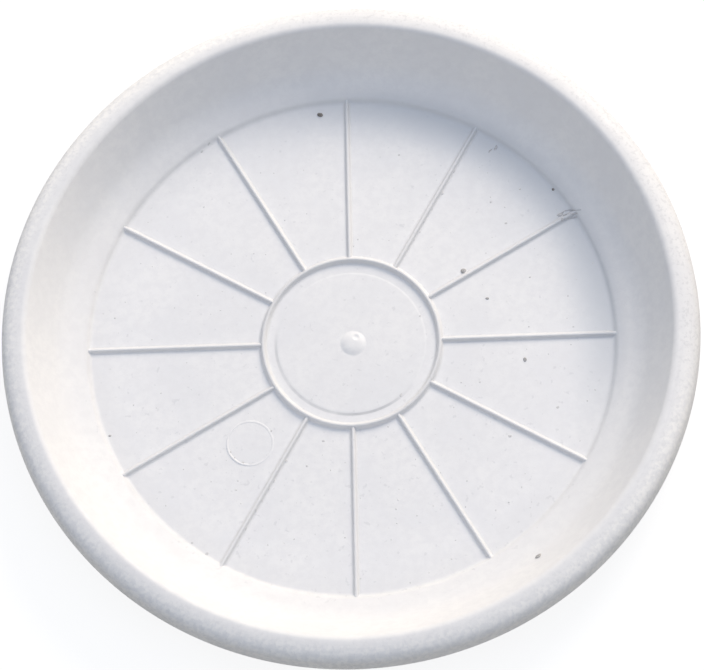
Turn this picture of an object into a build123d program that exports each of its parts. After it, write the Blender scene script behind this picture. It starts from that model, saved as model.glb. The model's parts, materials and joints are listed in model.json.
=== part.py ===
"""Plant saucer: a round moulded dish with a ribbed floor and a rolled-over rim.

The real saucer is one injection moulding in white plastic. It is built here from its own zones, which
meet face to face along the lines where the moulding changes direction: the floor and its raised lines,
the sloping wall, the rolled rim and its skirt, and the ring it stands on. Millimetres, +Z up, with the
origin on the ground under the middle of the dish.
"""
import os
from math import cos, radians, sin, tan

from build123d import *

# Overall size
OUTER_DIAMETER = 250.0    # across the rolled rim
DISH_DEPTH = 23.0         # from the floor inside the dish up to the crown of the rim

# Thickness of the moulding
FLOOR_THICKNESS = 1.8
WALL_THICKNESS = 1.8

# Side wall, a low step up from the floor, a shallow apron, a bend and then a straight slope to the rim
STEP_HEIGHT = 1.6
STEP_SLOPE = 55.0
APRON_WIDTH = 4.6         # level distance from the top of the step to the bend
APRON_SLOPE = 24.0
BEND_RADIUS = 15.0
WALL_SLOPE = 58.0

# Rim rolled over the top of the wall, tight on the dish side and flatter outwards, open beneath
SHOULDER_RADIUS = 2.8     # from the wall up to the crown
RIM_TOP_RADIUS = 10.5     # from the crown outwards
RIM_TOP_SLOPE = 27.0      # where the top gives way to the outer corner
RIM_CORNER_RADIUS = 4.6
RIM_DROP = 8.7            # from the crown down to the widest circle, low on the skirt

# Skirt that hangs from the rim, leaning out towards its lower edge so that it leaves the mould
SKIRT_DRAFT = 8.0
SKIRT_BEVEL = 0.45        # off both lower edges of the skirt

# Raised lines on the floor, which are straight ribs out to the wall and a higher ring that they start from
RIB_COUNT = 12
RIB_HEIGHT = 1.2
RIB_FOOT_WIDTH = 1.8
RIB_CREST_WIDTH = 0.8
RING_RADIUS = 32.0        # middle of the ring's crest
RING_HEIGHT = 1.6
RING_FOOT_WIDTH = 2.4
RING_CREST_WIDTH = 0.8
RIDGE_SHOULDER_ROUND = 0.3

# Middle of the floor, a disc a touch higher than the rest, with the stub left by the moulding gate
PANEL_MARGIN = 3.5        # flat floor between the ring's foot and the disc
PANEL_RISE = 0.25
PANEL_BEVEL = 0.4
NUB_RADIUS = 3.9
NUB_HEIGHT = 0.7
NUB_SHOULDER_ROUND = 0.55
DIMPLE_RADIUS = 1.1
DIMPLE_DEPTH = 0.45

# Bare moulded circle on the floor, halfway between two ribs
MARK_RADIUS = 8.2         # middle of its thin raised line
MARK_FOOT_WIDTH = 0.9
MARK_CREST_WIDTH = 0.4
MARK_HEIGHT = 0.25
MARK_MARGIN = 10.65       # flat floor between the ring's foot and the circle's
MARK_SECTOR = 7.5         # in rib spacings, from the rib on the +X side

# Low ring under the edge of the floor, which the saucer stands on
FOOT_HEIGHT = 1.2
FOOT_WIDTH = 2.5
FOOT_CREST_WIDTH = 1.7
FOOT_INSET = 5.0          # from the edge of the flat floor in to the foot ring

# Levels above the ground
floor_under = FOOT_HEIGHT
floor_top = floor_under + FLOOR_THICKNESS
panel_top = floor_top + PANEL_RISE
nub_top = panel_top + NUB_HEIGHT
rim_crown = floor_top + DISH_DEPTH

# The raised details keep their distances from the ring's two feet
ring_inner_foot = RING_RADIUS - RING_FOOT_WIDTH / 2
ring_outer_foot = RING_RADIUS + RING_FOOT_WIDTH / 2
panel_radius = ring_inner_foot - PANEL_MARGIN
mark_distance = ring_outer_foot + MARK_MARGIN + MARK_FOOT_WIDTH / 2 + MARK_RADIUS
rib_step = 360 / RIB_COUNT


def around(centre, radius, angle):
    """Point at an angle round a centre, where 0 is outwards and 90 is up or round towards +Y."""
    return (centre[0] + radius * cos(radians(angle)), centre[1] + radius * sin(radians(angle)))


def arc(centre, radius, start, end):
    """Arc of the section round a centre, from one angle to another."""
    points = [around(centre, radius, angle) for angle in (start, (start + end) / 2, end)]
    return ThreePointArc(*points)


# The section is drawn as (distance from the axis, height), from the widest circle inwards. An arc that
# has a slope at a point has its centre square to that slope.
outer_radius = OUTER_DIAMETER / 2
widest = (outer_radius, rim_crown - RIM_DROP)
corner_lift = (RIM_TOP_RADIUS - RIM_CORNER_RADIUS) * cos(radians(RIM_TOP_SLOPE))
corner_height = rim_crown - RIM_TOP_RADIUS + corner_lift
skirt_top_height = corner_height + RIM_CORNER_RADIUS * sin(radians(SKIRT_DRAFT))
skirt_lean = (skirt_top_height - widest[1]) * tan(radians(SKIRT_DRAFT))
skirt_top = (outer_radius - skirt_lean, skirt_top_height)
corner_centre = around(skirt_top, RIM_CORNER_RADIUS, SKIRT_DRAFT + 180)
top_end = 90 - RIM_TOP_SLOPE
top_centre = around(corner_centre, RIM_TOP_RADIUS - RIM_CORNER_RADIUS, top_end + 180)
shoulder_centre = (top_centre[0], rim_crown - SHOULDER_RADIUS)
shoulder_start = 90 + WALL_SLOPE
wall_head = around(shoulder_centre, SHOULDER_RADIUS, shoulder_start)

# The bend takes the apron's slope into the wall's, and the straight part above it takes up what is left
# of the height.
wall_side = WALL_SLOPE - 90
apron_side = APRON_SLOPE - 90
apron_rise = APRON_WIDTH * tan(radians(APRON_SLOPE))
bend_rise = BEND_RADIUS * (cos(radians(APRON_SLOPE)) - cos(radians(WALL_SLOPE)))
straight_rise = wall_head[1] - floor_top - STEP_HEIGHT - apron_rise - bend_rise
bend_top = (wall_head[0] - straight_rise / tan(radians(WALL_SLOPE)), wall_head[1] - straight_rise)
bend_centre = around(bend_top, BEND_RADIUS, wall_side + 180)
bend_foot = around(bend_centre, BEND_RADIUS, apron_side)
step_top = (bend_foot[0] - APRON_WIDTH, bend_foot[1] - apron_rise)
floor_edge = step_top[0] - STEP_HEIGHT / tan(radians(STEP_SLOPE))
step_foot = (floor_edge, floor_top)


def below(corner, slope_before, slope_after):
    """Point under a corner of the section where the wall's outer faces meet."""
    reach = WALL_THICKNESS / cos(radians(slope_after - slope_before) / 2)
    return around(corner, reach, (slope_before + slope_after) / 2 - 90)


def turned(face):
    """Solid turned about the dish's axis from a face of the section, its seam between two ribs."""
    return Rot(0, 0, rib_step / 2) * revolve(Plane.XZ * face, Axis.Z)


def box_face(inner, outer, low, high):
    """Upright rectangle of the section."""
    return make_face(Polyline((inner, low), (outer, low), (outer, high), (inner, high), close=True))


def ridge_face(middle, base, foot_width, crest_width, height):
    """Section of a line that stands out from a flat face, with sloping flanks and a flat crest."""
    foot = foot_width / 2
    crest = crest_width / 2
    feet = [(middle - foot, base), (middle + foot, base)]
    crests = [(middle + crest, base + height), (middle - crest, base + height)]
    return make_face(Polyline(*feet, *crests, close=True))


def floor_ridge(middle, foot_width, crest_width, height):
    """Section of the ring and the ribs, their shoulders eased as a mould leaves them."""
    face = ridge_face(middle, floor_top, foot_width, crest_width, height)
    shoulders = face.vertices().sort_by(Axis.Y)[-2:]
    return fillet(shoulders, RIDGE_SHOULDER_ROUND)


def make_floor_plate():
    """Flat floor from the middle disc out to the step at the foot of the wall."""
    return turned(box_face(panel_radius, floor_edge, floor_under, floor_top))


def make_centre_panel():
    """Disc in the middle of the floor, its raised edge bevelled."""
    low_side = [(0, floor_under), (panel_radius, floor_under), (panel_radius, floor_top)]
    high_side = [(panel_radius - PANEL_BEVEL, panel_top), (0, panel_top)]
    return turned(make_face(Polyline(*low_side, *high_side, close=True)))


def make_gate_nub():
    """Low stub at the very centre, rounded at its shoulder and dimpled on top."""
    stub = turned(box_face(0, NUB_RADIUS, panel_top, nub_top))
    stub = fillet(stub.faces().sort_by(Axis.Z)[-1].edges(), NUB_SHOULDER_ROUND)
    ball_radius = (DIMPLE_RADIUS ** 2 + DIMPLE_DEPTH ** 2) / (2 * DIMPLE_DEPTH)
    return stub - Pos(0, 0, nub_top - DIMPLE_DEPTH + ball_radius) * Sphere(ball_radius)


def make_centre_ring():
    """Raised ring that the ribs start from."""
    return turned(floor_ridge(RING_RADIUS, RING_FOOT_WIDTH, RING_CREST_WIDTH, RING_HEIGHT))


def make_mould_mark():
    """Thin raised circle, left plain inside."""
    line = ridge_face(MARK_RADIUS, floor_top, MARK_FOOT_WIDTH, MARK_CREST_WIDTH, MARK_HEIGHT)
    return Pos(*around((0, 0), mark_distance, MARK_SECTOR * rib_step)) * turned(line)


def dish_side():
    """Inner face of the wall in the section, from the floor to the rim."""
    return [
        Line(step_foot, step_top),
        Line(step_top, bend_foot),
        arc(bend_centre, BEND_RADIUS, apron_side, wall_side),
        Line(bend_top, wall_head),
    ]


def make_side_wall():
    """Wall of even thickness, from the step at the floor to the foot of the rim."""
    outer_bend = BEND_RADIUS + WALL_THICKNESS
    head_below = around(wall_head, WALL_THICKNESS, wall_side)
    bend_top_below = around(bend_centre, outer_bend, wall_side)
    bend_foot_below = around(bend_centre, outer_bend, apron_side)
    step_top_below = below(step_top, STEP_SLOPE, APRON_SLOPE)
    step_foot_below = below(step_foot, 0, STEP_SLOPE)
    outline = Curve() + [
        *dish_side(),
        Line(wall_head, head_below),
        Line(head_below, bend_top_below),
        arc(bend_centre, outer_bend, wall_side, apron_side),
        Line(bend_foot_below, step_top_below),
        Line(step_top_below, step_foot_below),
        Line(step_foot_below, (floor_edge, floor_under)),
        Line((floor_edge, floor_under), step_foot),
    ]
    return turned(make_face(outline))


def make_rolled_rim():
    """Top of the wall rolled over and outwards, of even thickness, down to the skirt."""
    outline = Curve() + [
        arc(shoulder_centre, SHOULDER_RADIUS, shoulder_start, 90),
        arc(top_centre, RIM_TOP_RADIUS, 90, top_end),
        arc(corner_centre, RIM_CORNER_RADIUS, top_end, SKIRT_DRAFT),
        Line(skirt_top, around(skirt_top, WALL_THICKNESS, SKIRT_DRAFT + 180)),
        arc(corner_centre, RIM_CORNER_RADIUS - WALL_THICKNESS, SKIRT_DRAFT, top_end),
        arc(top_centre, RIM_TOP_RADIUS - WALL_THICKNESS, top_end, 90),
        arc(shoulder_centre, SHOULDER_RADIUS - WALL_THICKNESS, 90, shoulder_start),
        Line(around(wall_head, WALL_THICKNESS, wall_side), wall_head),
    ]
    return turned(make_face(outline))


def make_rim_skirt():
    """Straight skirt below the outer corner of the rim, both its lower edges eased."""
    lean = tan(radians(SKIRT_DRAFT))
    low = widest[1] - SKIRT_BEVEL
    inner_top = around(skirt_top, WALL_THICKNESS, SKIRT_DRAFT + 180)
    inner_low = inner_top[0] + (inner_top[1] - widest[1]) * lean
    outer_side = [skirt_top, widest, (outer_radius - SKIRT_BEVEL, low)]
    inner_side = [(inner_low + SKIRT_BEVEL, low), (inner_low, widest[1]), inner_top]
    return turned(make_face(Polyline(*outer_side, *inner_side, close=True)))


def make_foot_ring():
    """Ring under the floor, narrower at the ground so that it leaves the mould."""
    middle = floor_edge - FOOT_INSET - FOOT_WIDTH / 2
    return turned(ridge_face(middle, floor_under, FOOT_WIDTH, FOOT_CREST_WIDTH, -FOOT_HEIGHT))


def make_dish_space():
    """Hollow of the dish and the floor below it, which trims the ribs where they meet the wall."""
    outline = Curve() + [
        Line((0, floor_under), (floor_edge, floor_under)),
        Line((floor_edge, floor_under), step_foot),
        *dish_side(),
        Line(wall_head, (0, wall_head[1])),
        Line((0, wall_head[1]), (0, floor_under)),
    ]
    return turned(make_face(outline))


def make_rib(index, centre_ring, dish_space):
    """Straight rib that starts at the ring's outer flank and ends against the step of the wall."""
    across = Plane(origin=(RING_RADIUS, 0, 0), x_dir=(0, 1, 0), z_dir=(1, 0, 0))
    section = floor_ridge(0, RIB_FOOT_WIDTH, RIB_CREST_WIDTH, RIB_HEIGHT)
    bar = extrude(across * section, wall_head[0] - RING_RADIUS)
    return Rot(0, 0, index * rib_step) * ((bar & dish_space) - centre_ring)


def make_pieces():
    """Every node of the saucer, by name."""
    centre_ring = make_centre_ring()
    dish_space = make_dish_space()
    pieces = {
        "floor_plate": make_floor_plate(),
        "centre_panel": make_centre_panel(),
        "gate_nub": make_gate_nub(),
        "centre_ring": centre_ring,
        "mould_mark": make_mould_mark(),
        "side_wall": make_side_wall(),
        "rolled_rim": make_rolled_rim(),
        "rim_skirt": make_rim_skirt(),
        "foot_ring": make_foot_ring(),
    }
    for index in range(RIB_COUNT):
        pieces[f"radial_rib_{index + 1:02d}"] = make_rib(index, centre_ring, dish_space)
    return pieces


os.makedirs("parts", exist_ok=True)
for name, piece in make_pieces().items():
    export_step(piece, f"parts/{name}.step")
    print(f"{name}: {piece.volume:.1f} cubic mm")

print(f"across the floor inside the step: {2 * floor_edge:.2f}")
print(f"across the crown of the rim: {2 * top_centre[0]:.2f}")
print(f"foot ring's middle from the axis: {floor_edge - FOOT_INSET - FOOT_WIDTH / 2:.2f}")
print(f"overall height: {rim_crown:.1f}")
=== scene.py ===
# %% [markdown]
# A round plant saucer in white plastic, seen from above. The real one is a single injection moulding, so
# almost everything on it is turned about one axis: the floor, the ring round the middle, the wall, the
# rolled rim. Only twelve straight ribs, one small circle, the stub of the moulding gate and the dirt that
# watering left behind are not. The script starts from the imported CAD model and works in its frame: metres,
# +Z up, with the origin on the ground under the middle of the dish.

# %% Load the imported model
import json
from math import atan2, cos, degrees, pi, radians, sin, tan

import bmesh
import bpy
from mathutils import Matrix, Vector
from mathutils.bvhtree import BVHTree

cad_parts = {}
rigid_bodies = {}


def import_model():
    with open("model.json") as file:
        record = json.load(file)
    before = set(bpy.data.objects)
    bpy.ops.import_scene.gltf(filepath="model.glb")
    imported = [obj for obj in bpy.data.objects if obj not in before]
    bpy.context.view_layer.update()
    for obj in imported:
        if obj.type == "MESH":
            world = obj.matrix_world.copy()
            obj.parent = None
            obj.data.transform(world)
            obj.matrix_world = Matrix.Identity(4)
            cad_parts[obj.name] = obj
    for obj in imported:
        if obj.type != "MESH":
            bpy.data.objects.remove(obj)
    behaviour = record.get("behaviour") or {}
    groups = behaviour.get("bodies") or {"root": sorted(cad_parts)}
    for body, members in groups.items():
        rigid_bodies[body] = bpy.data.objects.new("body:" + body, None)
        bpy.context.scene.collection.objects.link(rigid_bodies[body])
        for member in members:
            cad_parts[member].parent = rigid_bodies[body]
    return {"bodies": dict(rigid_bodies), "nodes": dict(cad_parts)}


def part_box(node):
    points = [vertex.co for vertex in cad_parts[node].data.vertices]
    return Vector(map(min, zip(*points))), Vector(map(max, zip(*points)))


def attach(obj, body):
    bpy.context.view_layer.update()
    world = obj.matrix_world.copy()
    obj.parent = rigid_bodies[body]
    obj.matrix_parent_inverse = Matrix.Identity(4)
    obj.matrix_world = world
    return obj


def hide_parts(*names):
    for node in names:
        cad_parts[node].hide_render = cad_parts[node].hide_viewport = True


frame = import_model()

MM = 0.001
BODY = frame["bodies"][0] if isinstance(frame["bodies"], list) else next(iter(frame["bodies"]))
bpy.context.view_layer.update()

# %% [markdown]
# The frame tells where each zone of the moulding lies, so levels and radii are read from it and not typed
# twice. What it cannot tell is how a face curves between its two ends, and those few radii and slopes are
# written here as they are in the part.

# %% Levels and radii read from the frame


def size_of(node):
    low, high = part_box(node)
    return (high[0] - low[0]) / 2 / MM, low[2] / MM, high[2] / MM


floor_edge, floor_under, floor_top = size_of("floor_plate")
panel_radius, _, panel_top = size_of("centre_panel")
nub_radius, _, nub_top = size_of("gate_nub")
ring_outer_foot, _, ring_crest = size_of("centre_ring")
rib_crest = size_of("radial_rib_01")[2]
outer_radius = size_of("rim_skirt")[0]
rim_crown = size_of("rolled_rim")[2]
foot_outer = size_of("foot_ring")[0]
floor_edge, outer_radius = round(floor_edge, 1), round(outer_radius, 0)
ring_outer_foot, panel_radius = round(ring_outer_foot, 1), round(panel_radius, 1)
nub_radius, foot_outer = round(nub_radius, 1), round(foot_outer, 1)
print("floor edge", floor_edge, "floor top", floor_top, "crests", ring_crest, rib_crest, "crown", rim_crown)

RIB_NODES = sorted(name for name in frame["nodes"] if name.startswith("radial_rib_"))
print(len(RIB_NODES), "ribs, the first", RIB_NODES[0])

# %% Slopes and radii of the section, in millimetres and degrees
THICKNESS = 1.8
STEP_HEIGHT = 1.6
STEP_SLOPE = 55.0
APRON_WIDTH = 4.6
APRON_SLOPE = 24.0
BEND_RADIUS = 15.0
WALL_SLOPE = 58.0
SHOULDER_RADIUS = 2.8
RIM_TOP_RADIUS = 10.5
RIM_TOP_SLOPE = 27.0
RIM_CORNER_RADIUS = 4.6
RIM_DROP = 8.7
SKIRT_DRAFT = 8.0
SKIRT_EDGE_RADIUS = 0.55
RIB_FOOT_WIDTH = 1.8
RIB_CREST_WIDTH = 0.8
RING_FOOT_WIDTH = 2.4
RING_CREST_WIDTH = 0.8
ring_radius = ring_outer_foot - RING_FOOT_WIDTH / 2
print("the ring's middle lies at a radius of", round(ring_radius, 2))

# %% [markdown]
# A photograph is matched by its camera first. The saucer's rings and ribs are circles and lines of known
# place, so the camera that maps them onto the picture is found once and then kept: 20 degrees off
# straight down, turned a little and rolled a little, more than a metre away. A long lens flattens the
# dish in the same way as the photograph does.

# %% Camera
LOOK_TILT, LOOK_TURN, LOOK_ROLL = radians(20.39), radians(6.22), radians(-7.78)
LOOK_DISTANCE = 1.1588
LOOK_OFFSET = (0.00057, 0.00286)
FOCAL_PIXELS = 3200
FRAME_WIDTH, FRAME_HEIGHT = 704, 670
SENSOR_WIDTH = 36


def look_axes():
    back = Vector((sin(LOOK_TILT) * sin(LOOK_TURN), -sin(LOOK_TILT) * cos(LOOK_TURN), cos(LOOK_TILT)))
    right = Vector((cos(LOOK_TURN), sin(LOOK_TURN), 0))
    up = back.cross(right)
    turned_right = right * cos(LOOK_ROLL) + up * sin(LOOK_ROLL)
    turned_up = up * cos(LOOK_ROLL) - right * sin(LOOK_ROLL)
    return turned_right, turned_up, back


def add_camera():
    right, up, back = look_axes()
    along, across = LOOK_OFFSET
    aim = Vector((cos(LOOK_TURN) * along - sin(LOOK_TURN) * across,
                  sin(LOOK_TURN) * along + cos(LOOK_TURN) * across,
                  floor_top * MM))
    camera = bpy.data.objects.new("camera", bpy.data.cameras.new("camera"))
    camera.data.lens = FOCAL_PIXELS * SENSOR_WIDTH / FRAME_WIDTH
    camera.data.sensor_width = SENSOR_WIDTH
    matrix = Matrix.Identity(4)
    for column, axis in enumerate((right, up, back, aim + back * LOOK_DISTANCE)):
        for row in range(3):
            matrix[row][column] = axis[row]
    camera.matrix_world = matrix
    bpy.context.scene.collection.objects.link(camera)
    bpy.context.scene.camera = camera
    return camera, matrix


camera, camera_matrix = add_camera()
print("camera at", [round(v, 3) for v in camera_matrix.translation], "lens", round(camera.data.lens, 1))

# %% [markdown]
# The sky, the floor, the finishes and the repeated shapes are all node trees. Two helpers write them as
# lists of steps: one feeds a socket from another socket or with a constant, and the other adds a node,
# sets it up, feeds its inputs and hands on one of its outputs.

# %% Helpers that build node trees


def feed(tree, socket, value):
    """Link a socket to another one, or set it to a constant."""
    if isinstance(value, bpy.types.NodeSocket):
        tree.links.new(value, socket)
    else:
        socket.default_value = value


def add_node(tree, kind, inputs=None, out=None, **settings):
    """Add a node, feed its inputs by name or number, and give the output asked for or else the first."""
    node = tree.nodes.new(kind)
    for name, value in settings.items():
        setattr(node, name, value)
    for key, value in (inputs or {}).items():
        named = [socket for socket in node.inputs if socket.enabled and socket.name == key]
        feed(tree, named[0] if named else node.inputs[key], value)
    return node.outputs[out] if out else next((s for s in node.outputs if s.enabled), None)


# %% [markdown]
# The light in the photograph is one broad warm source, low at the upper right, and a blue sky that fills
# the shade. A large disc lamp and a world that is brighter overhead than at the horizon give the same
# two parts. Light adds up, so their levels were found by rendering each part alone and solving for the
# three amounts, in red, green and blue, that together come nearest to the photograph's tones, and then
# trimmed by a few percent. The camera sees neither of them but plain white, which Light Path tells apart
# from the light that falls on the dish.

# %% Lamp and sky
KEY_AZIMUTH, KEY_ELEVATION = radians(63), radians(31.5)
KEY_DISTANCE, KEY_SIZE = 2.0, 1.1
KEY_IRRADIANCE = 0.805
KEY_COLOUR = (1.125, 1.0, 0.850)
SKY_HORIZON = (0.235, 0.180, 0.055, 1)
SKY_ZENITH = (0.652, 0.735, 0.915, 1)


def add_key():
    data = bpy.data.lights.new("key", "AREA")
    data.shape = "DISK"
    data.size = KEY_SIZE
    data.energy = KEY_IRRADIANCE * pi * pi * KEY_DISTANCE ** 2
    data.color = KEY_COLOUR
    lamp = bpy.data.objects.new("key", data)
    towards = Vector((cos(KEY_AZIMUTH) * cos(KEY_ELEVATION),
                      sin(KEY_AZIMUTH) * cos(KEY_ELEVATION),
                      sin(KEY_ELEVATION)))
    lamp.location = towards * KEY_DISTANCE
    lamp.rotation_mode = "QUATERNION"
    lamp.rotation_quaternion = towards.to_track_quat("Z", "Y")
    bpy.context.scene.collection.objects.link(lamp)


def seen_rays(tree):
    """1 on rays that come from the camera or mirror or pass through a surface, 0 on diffuse light."""
    path = tree.nodes.new("ShaderNodeLightPath").outputs
    seen = path["Is Camera Ray"]
    for name in ("Is Glossy Ray", "Is Transmission Ray"):
        seen = add_node(tree, "ShaderNodeMath", {0: seen, 1: path[name]}, operation="MAXIMUM")
    return seen


def add_sky():
    world = bpy.data.worlds.new("sky")
    world.use_nodes = True
    tree = world.node_tree
    place = add_node(tree, "ShaderNodeTexCoord", out="Generated")
    height = add_node(tree, "ShaderNodeSeparateXYZ", {0: place}, out="Z")
    blend = tree.nodes.new("ShaderNodeValToRGB")
    for stop, colour in zip(blend.color_ramp.elements, (SKY_HORIZON, SKY_ZENITH)):
        stop.color = colour
    blue = tree.nodes["Background"]
    white = add_node(tree, "ShaderNodeBackground", {"Color": (1, 1, 1, 1)})
    choice = add_node(tree, "ShaderNodeMixShader", {0: seen_rays(tree), 1: blue.outputs[0], 2: white})
    feed(tree, blend.inputs["Fac"], height)
    feed(tree, blue.inputs["Color"], blend.outputs["Color"])
    feed(tree, tree.nodes["World Output"].inputs["Surface"], choice)
    bpy.context.scene.world = world


add_key()
add_sky()
bpy.context.scene.view_settings.view_transform = "Standard"
print("key irradiance", KEY_IRRADIANCE, "sky", SKY_HORIZON[:3], "to", SKY_ZENITH[:3])

# %% [markdown]
# The floor under the saucer is plain and white to the eye of the camera, but a white floor would throw
# more light up at the rim than the photograph has there. Light Path tells the two apart here too: the
# camera sees a glow that is nearly white, with a little diffuse grey in it that keeps the saucer's shadow,
# and all other light meets a pale floor that does not glow.

# %% Ground
GROUND_HALF_WIDTH = 3.0
GROUND_SEEN_GLOW = 0.86
GROUND_SEEN_GREY = 0.22
GROUND_DULL_GREY = 0.45


def ground_material():
    material = bpy.data.materials.new("pale_ground")
    material.use_nodes = True
    tree = material.node_tree
    tree.nodes.clear()
    glow = add_node(tree, "ShaderNodeEmission", {"Strength": GROUND_SEEN_GLOW})
    grey, dull = (add_node(tree, "ShaderNodeBsdfDiffuse", {"Color": (level, level, level, 1)})
                  for level in (GROUND_SEEN_GREY, GROUND_DULL_GREY))
    both = add_node(tree, "ShaderNodeAddShader", {0: glow, 1: grey})
    choice = add_node(tree, "ShaderNodeMixShader", {0: seen_rays(tree), 1: dull, 2: both})
    add_node(tree, "ShaderNodeOutputMaterial", {"Surface": choice})
    return material


def add_ground():
    half = GROUND_HALF_WIDTH
    mesh = bpy.data.meshes.new("ground")
    corners = [(-half, -half, 0), (half, -half, 0), (half, half, 0), (-half, half, 0)]
    mesh.from_pydata(corners, [], [(0, 1, 2, 3)])
    mesh.materials.append(ground_material())
    ground = bpy.data.objects.new("ground", mesh)
    bpy.context.scene.collection.objects.link(ground)


add_ground()

# %% [markdown]
# White polypropylene is never one flat white. Seen close it is cloudy, where the melt flowed, mottled, and
# full of small grey flecks, dust pressed into the skin. Painted shade darkens the foot of the wall, the ring
# and the ribs, most of all in their corners, and a line along that side of the middle disc which faces away
# from the lamp. A bluish painted shadow lies on the far floor, where the wall keeps it in shade. The
# plastic's shine is dull and uneven. On the rim, which turns under a hand and a cloth, fine lines run round
# the saucer; the rim is darker on its far side, and painted light makes its near side paler. Every pattern
# is made from Object coordinates, so it lies on the plastic, stays there from any side and runs on across
# the seams between the pieces.

# %% Helpers for node materials


class Shading:
    """A material's node tree, written as a chain of small steps."""

    def __init__(self, name):
        self.material = bpy.data.materials.new(name)
        self.material.use_nodes = True
        self.tree = self.material.node_tree
        self.shader = self.tree.nodes["Principled BSDF"]
        self.place = add_node(self.tree, "ShaderNodeTexCoord", out="Object")

    def math(self, operation, *values):
        return add_node(self.tree, "ShaderNodeMath", dict(enumerate(values)), operation=operation)

    def noise(self, scale, detail=2.0, roughness=0.5, distortion=0.0, at=None):
        inputs = {"Vector": at or self.place, "Scale": scale, "Detail": detail, "Roughness": roughness,
                  "Distortion": distortion}
        return add_node(self.tree, "ShaderNodeTexNoise", inputs)

    def ramp(self, value, low, high, start=0.0, end=1.0):
        inputs = {"Value": value, "From Min": low, "From Max": high, "To Min": start, "To Max": end}
        return add_node(self.tree, "ShaderNodeMapRange", inputs, interpolation_type="SMOOTHSTEP")

    def mix(self, amount, first, second):
        inputs = {"Factor": amount, "A": first, "B": second}
        return add_node(self.tree, "ShaderNodeMix", inputs, data_type="RGBA")

    def split(self):
        node = self.tree.nodes.new("ShaderNodeSeparateXYZ")
        feed(self.tree, node.inputs[0], self.place)
        return node.outputs

    def join(self, x, y, z):
        return add_node(self.tree, "ShaderNodeCombineXYZ", {0: x, 1: y, 2: z})

    def bump(self, height, strength, distance, under=None):
        inputs = {"Height": height, "Strength": strength, "Distance": distance}
        if under:
            inputs["Normal"] = under
        return add_node(self.tree, "ShaderNodeBump", inputs)

    def finish(self, colour, roughness, normal=None):
        feed(self.tree, self.shader.inputs["Base Color"], colour)
        feed(self.tree, self.shader.inputs["Roughness"], roughness)
        if normal:
            feed(self.tree, self.shader.inputs["Normal"], normal)
        return self.material


# %% White plastic
PLASTIC = (0.855, 0.855, 0.855, 1)
PLASTIC_CLOUD = (0.812, 0.816, 0.828, 1)
PLASTIC_MOTTLE = (0.795, 0.796, 0.806, 1)
# Grey of the flecks and the rim's lines and grains, and of the painted shade line along the middle disc
FLECK_AND_SHADE_GREY = (0.50, 0.51, 0.53, 1)
# Grey of the painted shade in the crease at the foot of the wall and on the ring and the ribs
CREASE_SHADE_GREY = (0.60, 0.60, 0.60, 1)
# Blue grey of the painted shadow on the far floor, where the rim and the wall shade it
FAR_SHADOW_BLUE = (0.55, 0.59, 0.64, 1)
# Pale tone of the painted light on the near side of the rim
NEAR_RIM_LIGHT_TONE = (0.96, 0.95, 0.93, 1)
SHINE = 0.3
SHARPEST, DULLEST = 0.46, 0.58

# %% Grain of each pattern, how strong each kind of dirt, painted shade and painted light is and where it lies
CLOUD_GRAIN, MOTTLE_GRAIN, PATCH_GRAIN, FLECK_GRAIN = 38, 300, 60, 520
BREAKUP_GRAIN, LINE_GRAIN, NEAR_RIM_LIGHT_GRAIN, GRIME_GRAIN = 110, 900, 620, 800
SHEEN_GRAIN, SKIN_GRAIN, SAG_GRAIN = 150, 1400, 45
# How strong the flecks, the painted far shadow, the painted shade on the ridges and the painted shade line
# at the disc are
FLECK_AMOUNT, FAR_SHADOW_AMOUNT, RIDGE_SHADE, DISC_SHADE_LINE = 0.24, 0.60, 0.36, 0.95
# How strong the painted shade in the crease is, close to it and further out
CORNER_SHADE, BROAD_SHADE = 0.26, 0.12
CREST_SHARE, FOOT_SHARE = 0.6, 1.25
# Strength of the rim's lines and grains, and how much darker the far side of the rim is made
RIM_LINES, RIM_GRAINS, FAR_RIM_DARKENING = 0.14, 0.26, 0.12
FAR_AZIMUTH = radians(43)
CREASE_OUTSIDE = 0.6
CORNER_REACH, BROAD_REACH = (3.0 * MM, 0.3 * MM), (13 * MM, 2 * MM)
FAR_SHADOW_INWARD, FAR_SHADOW_OUTWARD = 20, 6
RIB_REACH, RING_REACH = (1.9 * MM, 0.8 * MM), (2.1 * MM, 1.1 * MM)
LINE_OUTSIDE, LINE_REACH = 0.15, (0.75 * MM, 0.2 * MM)
# Band of the rim that the painted light makes paler on its near side
NEAR_RIM_BAND = (117.5 * MM, 121 * MM)
RIM_MARK_BAND = (115.5 * MM, 119 * MM)


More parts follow.
